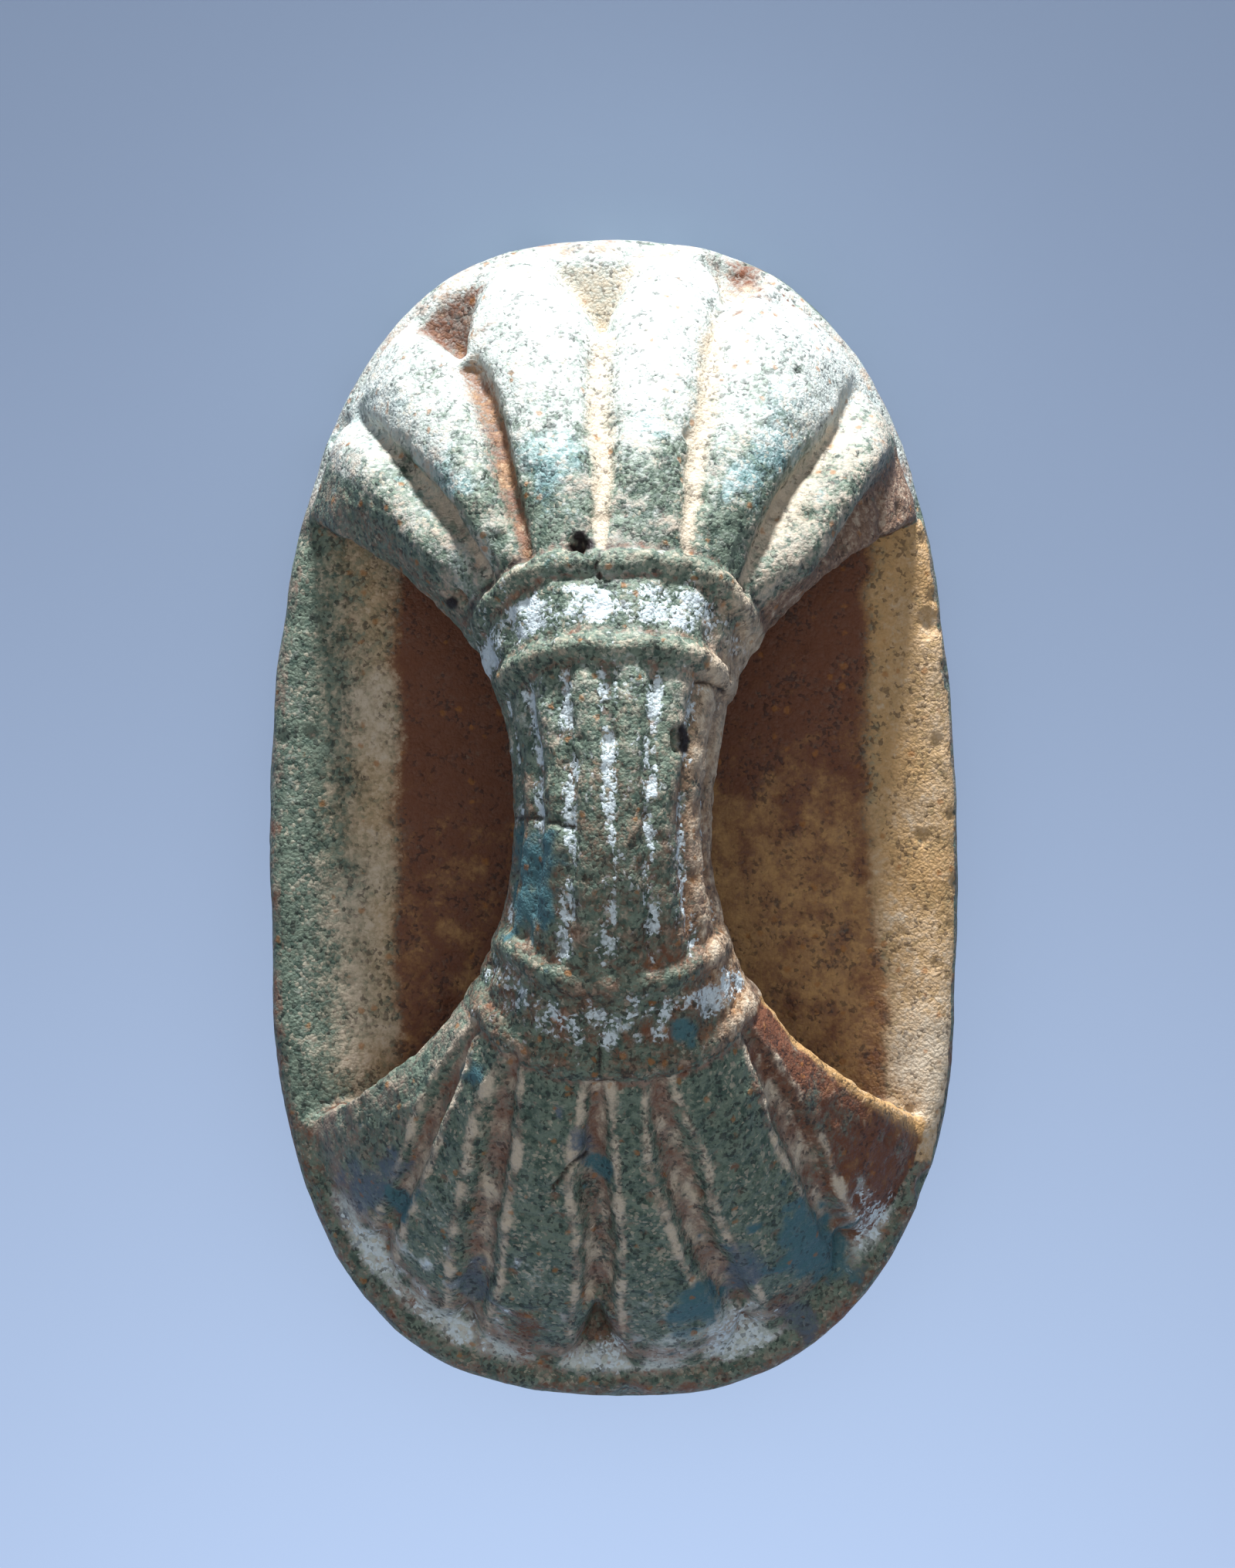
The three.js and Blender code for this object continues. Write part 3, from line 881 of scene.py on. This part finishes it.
def paint_margins(spot, size):
    """The margins past the petals at both ends of the plate, and the plate's rim."""
    upper_margin = spot.top_face & (spot.y >= TUNNEL_END)
    faded = smoothstep(spot.z + RIM_FADE_RAGGED * spot.ragged, RIM_FADE_START * size.plate, size.plate)
    upper_rim = ~spot.on_handle * smoothstep(spot.y, TUNNEL_END - RIM_FADE_LENGTH, TUNNEL_END) * faded
    spot.lay("pale", np.maximum(upper_margin, upper_rim), 0.8)
    spot.lay("cream", upper_margin, 0.3)
    lower_margin = spot.top_face & (spot.y <= -TUNNEL_END)
    spot.lay("pale", lower_margin, 0.1, broad=0.3, ragged=0.2)
    spot.lay("taupe", lower_margin, 0.2, ragged=0.5)
    spot.lay("brown", lower_margin, 0.25, ragged=-0.5)
    rim = ~spot.on_handle & (spot.up < RIM_UP) & (spot.z > size.plate - RIM_DEPTH)
    lower_rim = rim & (spot.y < 0)
    spot.lay("taupe", rim, 0.4, ragged=0.4)
    spot.lay("brown", lower_rim, 0.25, ragged=0.4)
    spot.lay("pale", ~spot.on_handle & ~lower_rim, 0.16)


def paint_bundle(spot):
    """The stalks, sandy on the right, with white fill in the flutes and between the ties."""
    here = spot.on_handle & (spot.past <= TIE_EDGE)
    spot.upward = smoothstep(spot.y, *BUNDLE_PALES)
    spot.right = smoothstep(spot.degrees, *BUNDLE_SANDY)
    spot.dashes = smoothstep(spot.streak, *DASHES)
    spot.lay("pale", here * spot.mix(1, tie=-0.6), 0.05, upward=0.22, broad=0.15)
    spot.lay("taupe", here, 0, right=0.65, broad=0.25)
    spot.lay("ochre", here, 0, right=0.4, ragged=0.25)
    spot.lay("cream", here, 0, right=0.4, edge=0.25, upward=0.12, ragged=0.15)
    spot.lay("brown", here, 0.38, right=0.4, ragged=0.35, upward=-0.38)
    filled = smoothstep(spot.flute, *FLUTE_FILLED) * spot.mix(0.2, dashes=0.55)
    spot.lay("white", here * spot.mix(1, right=-0.5) * np.maximum(filled, spot.mix(0.1, streak=0.25)))
    upper_band = here * spot.upper * spot.between
    spot.lay("white", upper_band * spot.mix(1, right=-0.7), 0.72, ragged=0.5, streak=0.4)
    lower_band = here * ~spot.upper * spot.between
    spot.lay("white", lower_band, 0.25, streak=0.7, flute=0.4)
    spot.lay("brown", lower_band, 0.35, streak=-0.6)
    for finish in ("white", "pale"):
        spot.wipe(finish, spot.block, 0.5)


def paint_upper_head(spot):
    """The upper head: greener by the tie, whiter towards the rim as whitened glaze and a painted highlight,
    with bare body in its grooves.
    """
    here = spot.on_handle & spot.upper & (spot.past > TIE_EDGE)
    # whiter towards the rim, with less turquoise and taupe: partly whitened glaze, partly a painted highlight
    # where the key light falls
    spot.rimward = smoothstep(spot.y, *UPPER_WHITE_AND_HIGHLIGHT)
    spot.flank = smoothstep(spot.outer_flank, *FLANK)
    spot.lay("pale", here * spot.mix(1, flank=-0.9), 0.36, rimward=0.5, broad=0.25)
    spot.lay("turquoise", here * spot.mix(1, rimward=-0.4), 0.2, broad=0.4)
    spot.lay("cream", here, 0.15, ragged=0.3)
    spot.lay("taupe", here * (1 - spot.rimward), 0.3, broad=0.3, ragged=0.3)
    for finish in ("cream", "taupe"):
        spot.lay(finish, here * spot.last, 0.4)
    stained = here * spot.channel * spot.stain
    spot.lay("cream", here * spot.channel * (1 - spot.stain))
    spot.lay("brown", stained)
    spot.lay("ochre", stained, 0.35, ragged=0.4)
    spot.lay("brown", here * spot.flank * (spot.x > 0), 0.75)
    spot.lay("brown", here * spot.flank * (spot.x <= 0), 0.25)
    spot.lay("taupe", here * spot.flank, 0.4)
    notch = spot.near * spot.upper * spot.notch * (1 - smoothstep(spot.to_rim, *NOTCH_ENDS))
    spot.lay("cream", notch * (1 - spot.stain), 0.8)
    spot.lay("brown", notch * spot.stain)


def paint_lower_head(spot):
    """The lower head: dark green petals, taupe channels with paler edges, and brown at its right side."""
    here = spot.on_handle & ~spot.upper & (spot.past > TIE_EDGE)
    spot.lay("pale", here, 0.1, broad=0.15)
    spot.lay("taupe", here * spot.channel, 0.85, ragged=0.4)
    spot.lay("cream", here * spot.channel, 0.42, streak=0.7)
    spot.lay("brown", here * spot.channel * spot.stain, 0.5, ragged=1.0)
    spot.lay("cream", here * spot.lip, 0.62, ragged=0.9)
    spot.lay("taupe", here * spot.lip, 0.6)
    spot.lay("taupe", here * spot.ledge, 0.7)
    right = here * smoothstep(spot.degrees, *LOWER_RIGHT)
    spot.lay("brown", right, 0.8, broad=0.4, ragged=0.3)
    spot.lay("taupe", right, 0.45)
    spot.lay("ochre", right, 0.03, ragged=0.35)
    spot.lay("ochre", here * smoothstep(spot.degrees, *LOWER_RIGHT_EDGE), 0.95)
    spot.lay("taupe", here * smoothstep(-spot.degrees, *LOWER_LEFT), 0.4, ragged=0.3)
    # painted shadow: taupe in the line beside the lower head's tie
    spot.lay("taupe", spot.on_handle * ~spot.upper * spot.seam, 0.9)


def paint_damage(spot, xy):
    """Coloured patches, dirt in the crevices, worn edges, dark pits and cracks, and painted shadow beside the
    ties.
    """
    open_face = (spot.up > FACING_UP) & (spot.on_handle | (np.abs(spot.y) > TUNNEL_END))
    for finish, places in PATCHES.items():
        spot.lay(finish, patches(xy, places, spot.ragged) * open_face, PATCH_STRENGTH[finish])
    spot.wipe("white", spot.on_handle * patches(xy, PATCHES["teal"], spot.ragged))
    lower_rim = ~spot.on_handle * (spot.y < 0) * smoothstep(spot.to_rim, *LOWER_RIM)
    for finish in ("white", "pale"):
        spot.wipe(finish, lower_rim, 0.85)
    spot.clean = smoothstep(spot.y, *UPPER_CLEAN)
    dirt = spot.hollow * spot.mix(1, clean=-0.7)
    spot.lay("taupe", dirt, 0.45)
    spot.lay("brown", dirt * spot.on_handle, 0.45)
    spot.lay("cream", spot.edge * spot.on_handle * (1 - spot.tie), 0.3)
    for x, y, radius, depth in PITS:
        away = np.hypot(spot.x - x, spot.y - y) * (1 + PIT_RAGGED * spot.ragged)
        black = np.clip(depth / PIT_BLACK, PIT_FAINTEST, 1)
        spot.lay("dark", open_face * (1 - smoothstep(away, PIT_CORE * radius, radius)), black)
    core, reach = CRACK_CORE * CRACK_HALF_WIDTH, CRACK_REACH * CRACK_HALF_WIDTH
    for line in CRACKS:
        away = distance_to_line(xy, line) * (1 + CRACK_RAGGED * spot.ragged)
        spot.lay("dark", spot.on_handle * (1 - smoothstep(away, core, reach)), 0.7)
    # painted shadow: a dark line beside the upper head's tie
    seam = np.clip(spot.mix(0.4, ragged=0.7), 0, SEAM_SHADOW_DARKEST)
    spot.lay("dark", spot.on_handle * spot.upper * spot.seam * seam)
    # painted shadow: brown in the gutters beside the ties
    spot.lay("brown", spot.on_handle * spot.gutter, 0.35, ragged=0.4)


def paint_masks(points, normals, hollow, fields, found, distance, size):
    """How much of each finish every point shows, worked out from the carving under it."""
    spot = Spot(**{name: field[found] for name, field in fields.items()})
    spot.x, spot.y, spot.z = points.T
    spot.up = normals[:, 2]
    spot.hollow = np.maximum(hollow, 0)
    spot.edge = np.maximum(-hollow, 0)
    spot.ragged = random_field(points, *RAGGED)
    spot.broad = random_field(points, *BROAD)
    spot.streak = random_field(points * STREAK_STRETCH, *STREAK)
    spot.near = distance < NEAR_HANDLE
    spot.to_rim = rim_share(points, size)
    spot.on_handle = spot.near & (spot.z > size.plate + HANDLE_CLEAR)
    spot.top_face = ~spot.on_handle & (spot.z > size.plate - TOP_FACE_DEPTH) & (spot.up > TOP_FACE_UP)
    spot.coats = {finish: np.zeros(len(points)) for finish in FINISHES}
    paint_floor(spot, size)
    paint_margins(spot, size)
    paint_bundle(spot)
    paint_upper_head(spot)
    paint_lower_head(spot)
    paint_damage(spot, points[:, :2])
    return spot.coats


def carve_amulet(size):
    """Makes the amulet's mesh: carved, merged into one skin, weathered, and thinned to its triangle limit."""
    top, around, fields = handle_grid(size)
    handle_points, handle_faces = handle_body(top, under_surface(top, around, size))
    plate_points, plate_faces = plate_body(size)
    shifted = [[index + len(handle_points) for index in face] for face in plate_faces]
    rough = bpy.data.meshes.new("rough_amulet")
    rough.from_pydata(np.concatenate([handle_points, plate_points]).tolist(), [], handle_faces + shifted)
    rough.update()
    obj = bpy.data.objects.new(PIECE, rough)
    bpy.context.scene.collection.objects.link(obj)

    merge = obj.modifiers.new("Merge", "REMESH")
    merge.mode = "VOXEL"
    merge.voxel_size = VOXEL
    soften = obj.modifiers.new("Soften", "SMOOTH")
    soften.factor = SMOOTH_SHARE
    soften.iterations = SMOOTH_PASSES
    merged = baked(obj)
    obj.modifiers.clear()
    obj.data = merged

    worn = weather(read_points(merged), read_normals(merged), size)
    merged.vertices.foreach_set("co", worn.astype(np.float32).ravel())
    merged.update()
    merged.calc_loop_triangles()
    thin = obj.modifiers.new("Thin", "DECIMATE")
    thin.ratio = min(1.0, MOST_TRIANGLES / len(merged.loop_triangles))
    final = baked(obj)
    obj.modifiers.clear()
    obj.data = final

    points = read_points(final)
    found, distance = nearest(tree_of(top.reshape(-1, 3)), points)
    normals = read_normals(final)
    masks = paint_masks(points, normals, hollows(final, points, normals), fields, found, distance, size)
    for name, values in masks.items():
        layer = final.attributes.new(name, "FLOAT", "POINT")
        layer.data.foreach_set("value", np.clip(values, 0, 1).astype(np.float32))
    final.vertices.foreach_set("co", (points * MM).astype(np.float32).ravel())
    final.polygons.foreach_set("use_smooth", np.ones(len(final.polygons), bool))
    final.name = PIECE
    final.update()
    return obj


class NodeBench:
    """Short calls for the nodes of one material."""

    def __init__(self, material):
        material.use_nodes = True
        self.tree = material.node_tree
        self.tree.nodes.clear()

    def add(self, kind, **settings):
        node = self.tree.nodes.new(kind)
        for name, value in settings.items():
            setattr(node, name, value)
        return node

    def feed(self, socket, value):
        if isinstance(value, bpy.types.NodeSocket):
            self.tree.links.new(value, socket)
        else:
            socket.default_value = value

    def mask(self, name):
        return self.add("ShaderNodeAttribute", attribute_name=name).outputs["Fac"]

    def math(self, operation, first, second=0.0, third=0.0):
        node = self.add("ShaderNodeMath", operation=operation)
        for socket, value in zip(node.inputs, (first, second, third)):
            self.feed(socket, value)
        return node.outputs[0]

    def ramp(self, value, low, high, start=0.0, end=1.0):
        node = self.add("ShaderNodeMapRange", interpolation_type="SMOOTHSTEP")
        for name, setting in (("From Min", low), ("From Max", high), ("To Min", start), ("To Max", end)):
            node.inputs[name].default_value = setting
        self.feed(node.inputs["Value"], value)
        return node.outputs["Result"]

    def blend(self, share, first, second):
        node = self.add("ShaderNodeMix", data_type="RGBA")
        self.feed(node.inputs[0], share)
        self.feed(node.inputs[6], first)
        self.feed(node.inputs[7], second)
        return node.outputs[2]

    def noise(self, place, per_mm, detail, seed):
        """Soft noise about 0.5, with features of a given number to the millimetre."""
        node = self.add("ShaderNodeTexNoise", noise_dimensions="4D")
        self.feed(node.inputs["Vector"], place)
        node.inputs["W"].default_value = seed
        node.inputs["Scale"].default_value = per_mm
        node.inputs["Detail"].default_value = detail
        node.inputs["Roughness"].default_value = 0.65
        return node

    def grains(self, place, per_mm):
        """Small cells: how far points are from their cell's middle, and three random values a cell."""
        cells = self.add("ShaderNodeTexVoronoi")
        self.feed(cells.inputs["Vector"], place)
        cells.inputs["Scale"].default_value = per_mm
        split = self.add("ShaderNodeSeparateColor")
        self.feed(split.inputs["Color"], cells.outputs["Color"])
        return cells.outputs["Distance"], split.outputs["Red"], split.outputs["Green"], split.outputs["Blue"]


def glaze_material(colours):
    """The worn glaze: finishes laid over each other by the painted masks, each broken up by noise."""
    material = bpy.data.materials.new(SLOT)
    bench = NodeBench(material)
    tone = {name: (*getattr(colours, name), 1.0) for name in colours.__annotations__}
    place = bench.add("ShaderNodeTexCoord").outputs["Object"]
    in_mm = bench.add("ShaderNodeMapping")
    in_mm.inputs["Scale"].default_value = (1 / MM,) * 3
    bench.feed(in_mm.inputs["Vector"], place)
    place = in_mm.outputs["Vector"]
    wobble = bench.add("ShaderNodeVectorMath", operation="MULTIPLY_ADD")
    bench.feed(wobble.inputs[0], bench.noise(place, 9.0, 2.0, 5.0).outputs["Color"])
    wobble.inputs[1].default_value = (CELL_WOBBLE,) * 3
    bench.feed(wobble.inputs[2], place)
    crystal, red, green, blue = bench.grains(wobble.outputs[0], CELLS_PER_MM)
    fine = bench.noise(place, 7.0, 6.0, 1.0).outputs["Fac"]
    other = bench.noise(place, 5.0, 6.0, 2.0).outputs["Fac"]
    middle = bench.noise(place, 1.9, 4.0, 3.0).outputs["Fac"]

    crumb = bench.math("MULTIPLY_ADD", middle, 0.4, bench.math("MULTIPLY", fine, 0.5))
    crumb = bench.math("MULTIPLY_ADD", red, 0.1, crumb)
    speck = bench.math("MULTIPLY_ADD", middle, 0.3, bench.math("MULTIPLY", fine, 0.42))
    speck = bench.math("MULTIPLY_ADD", red, 0.28, speck)

    def laid(shade, finish, low, high, spread, grain=crumb):
        """A finish laid over a shade where its mask is, with an edge that the grain breaks up."""
        mask = bench.mask(finish)
        swing = bench.ramp(mask, 0.0, BREAK_START, 0.0, spread)
        swing = bench.math("MULTIPLY", bench.math("SUBTRACT", grain, 0.5), swing)
        share = bench.ramp(bench.math("ADD", mask, swing), low, high)
        return bench.blend(share, shade, tone[finish])

    depth = bench.math("MULTIPLY_ADD", green, 0.12, bench.math("MULTIPLY", other, 0.88))
    shade = bench.blend(bench.ramp(depth, 0.4, 0.62), tone["glaze"], tone["glaze_deep"])
    for finish, edge in UNDER_LAYERS.items():
        shade = laid(shade, finish, *edge)
    thin = bench.math("SUBTRACT", middle, 0.5)
    pale_flecks = bench.ramp(bench.math("MULTIPLY_ADD", thin, 1.5, blue), 0.84, 1.0, 0.0, 0.45)
    shade = bench.blend(pale_flecks, shade, tone["cream"])
    for finish, edge in OVER_LAYERS.items():
        shade = laid(shade, finish, *edge)
    shade = laid(shade, "white", *WHITE_LAYER, grain=speck)

    dark_flecks = bench.ramp(bench.math("MULTIPLY_ADD", thin, -1.5, green), 0.8, 1.0, 0.0, 0.55)
    shade = bench.blend(dark_flecks, shade, tone["dark"])
    spot, chance, _, _ = bench.grains(wobble.outputs[0], RUST_PER_MM)
    spot = bench.ramp(bench.math("MULTIPLY_ADD", fine, -0.5, spot), -0.12, 0.08, 1.0, 0.0)
    rusty = bench.math("MULTIPLY", spot, bench.ramp(chance, 0.8, 0.81, 0.0, 0.6))
    shade = bench.blend(rusty, shade, tone["rust"])
    shade = bench.blend(bench.ramp(bench.mask("dark"), 0.1, 0.9), shade, tone["dark"])

    shader = bench.add("ShaderNodeBsdfPrincipled")
    bench.feed(shader.inputs["Base Color"], shade)
    bench.feed(shader.inputs["Roughness"], bench.ramp(crumb, 0.4, 0.62, 0.45, 0.8))
    shader.inputs["Specular IOR Level"].default_value = 0.3
    bump = bench.add("ShaderNodeBump")
    bump.inputs["Strength"].default_value = 1.0
    bump.inputs["Distance"].default_value = BUMP * MM
    bench.feed(bump.inputs["Height"], bench.math("MULTIPLY_ADD", crystal, -0.25, crumb))
    bench.feed(shader.inputs["Normal"], bump.outputs["Normal"])
    output = bench.add("ShaderNodeOutputMaterial")
    bench.feed(output.inputs["Surface"], shader.outputs["BSDF"])
    return material


class AMULET_OT_carve(bpy.types.Operator):
    """Carve the seal amulet, glaze it and set it in the frame"""

    bl_idname = "amulet.carve"
    bl_label = "Carve Amulet"

    def execute(self, context):
        obj = carve_amulet(in_millimetres(context.scene.amulet_sizes))
        obj.data.materials.append(glaze_material(context.scene.amulet_colours))
        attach(obj, BODY)
        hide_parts(NODE)
        return {"FINISHED"}


def plain_floor(tone):
    half = FLOOR_SIZE * MM / 2
    mesh = bpy.data.meshes.new("floor")
    corners = [(-half, -half, 0), (half, -half, 0), (half, half, 0), (-half, half, 0)]
    mesh.from_pydata(corners, [], [(0, 1, 2, 3)])
    floor = bpy.data.objects.new("floor", mesh)
    bpy.context.scene.collection.objects.link(floor)
    material = bpy.data.materials.new("plain_floor")
    material.use_nodes = True
    shader = material.node_tree.nodes["Principled BSDF"]
    shader.inputs["Base Color"].default_value = (*tone, 1.0)
    shader.inputs["Roughness"].default_value = 0.8
    shader.inputs["Specular IOR Level"].default_value = 0.2
    mesh.materials.append(material)
    return floor


def soft_light(name, power, place, aim, width, height, tone):
    """A flat soft light at a place in millimetres, turned to face a point."""
    lamp = bpy.data.lights.new(name, "AREA")
    lamp.shape = "RECTANGLE"
    lamp.size = width * MM
    lamp.size_y = height * MM
    lamp.energy = power
    lamp.color = tone
    light = bpy.data.objects.new(name, lamp)
    light.location = Vector(place) * MM
    light.rotation_euler = (Vector(aim) - Vector(place)).to_track_quat("-Z", "Y").to_euler()
    bpy.context.scene.collection.objects.link(light)
    return light


def light_only(light, obj):
    """Keeps a light, and the shadows it casts, to one object."""
    chosen = bpy.data.collections.new(f"{light.name}_lights")
    chosen.objects.link(obj)
    light.light_linking.receiver_collection = chosen
    light.light_linking.blocker_collection = chosen


def top_camera():
    """A long lens straight above the amulet, with the plate's long axis upright in the picture."""
    lens = bpy.data.cameras.new("camera")
    lens.sensor_width = SENSOR
    lens.lens = SENSOR * CAMERA_DISTANCE / (PHOTO_HEIGHT / PIXELS_PER_MM)
    lens.clip_start, lens.clip_end = CLIP
    camera = bpy.data.objects.new("camera", lens)
    camera.location = Vector((*PICTURE_CENTRE, PICTURE_LEVEL + CAMERA_DISTANCE)) * MM
    bpy.context.scene.collection.objects.link(camera)
    bpy.context.scene.camera = camera


class AMULET_OT_stage(bpy.types.Operator):
    """Set the plain floor, the soft lights and the camera"""

    bl_idname = "amulet.stage"
    bl_label = "Set Stage"

    def execute(self, context):
        stage = context.scene.amulet_stage
        floor = plain_floor(stage.floor)
        amulet = bpy.data.objects[PIECE]
        light_only(soft_light("key", stage.key, **KEY), amulet)
        light_only(soft_light("overhead", stage.fill, **OVERHEAD), amulet)
        light_only(soft_light("floor_wash", stage.wash, **WASH), floor)
        world = bpy.data.worlds.new("soft_room")
        world.use_nodes = True
        background = world.node_tree.nodes["Background"]
        background.inputs["Color"].default_value = ROOM
        background.inputs["Strength"].default_value = stage.ambient
        context.scene.world = world
        context.scene.view_settings.view_transform = "Standard"
        top_camera()
        return {"FINISHED"}


class AMULET_PT_sidebar(bpy.types.Panel):
    """Sizes, colours and steps of the amulet"""

    bl_idname = "AMULET_PT_sidebar"
    bl_label = "Papyrus Seal Amulet"
    bl_space_type = "VIEW_3D"
    bl_region_type = "UI"
    bl_category = "Amulet"

    def draw(self, context):
        for group in (context.scene.amulet_sizes, context.scene.amulet_colours, context.scene.amulet_stage):
            box = self.layout.box()
            for name in group.__annotations__:
                box.prop(group, name)
        self.layout.operator(AMULET_OT_carve.bl_idname)
        self.layout.operator(AMULET_OT_stage.bl_idname)


CLASSES = (AmuletSizes, AmuletColours, AmuletStage, AMULET_OT_carve, AMULET_OT_stage, AMULET_PT_sidebar)


def register():
    for cls in CLASSES:
        bpy.utils.register_class(cls)
    bpy.types.Scene.amulet_sizes = PointerProperty(type=AmuletSizes)
    bpy.types.Scene.amulet_colours = PointerProperty(type=AmuletColours)
    bpy.types.Scene.amulet_stage = PointerProperty(type=AmuletStage)


def unregister():
    del bpy.types.Scene.amulet_stage
    del bpy.types.Scene.amulet_colours
    del bpy.types.Scene.amulet_sizes
    for cls in reversed(CLASSES):
        bpy.utils.unregister_class(cls)


def main():
    register()
    bpy.ops.amulet.carve()
    bpy.ops.amulet.stage()


if __name__ == "__main__":
    main()
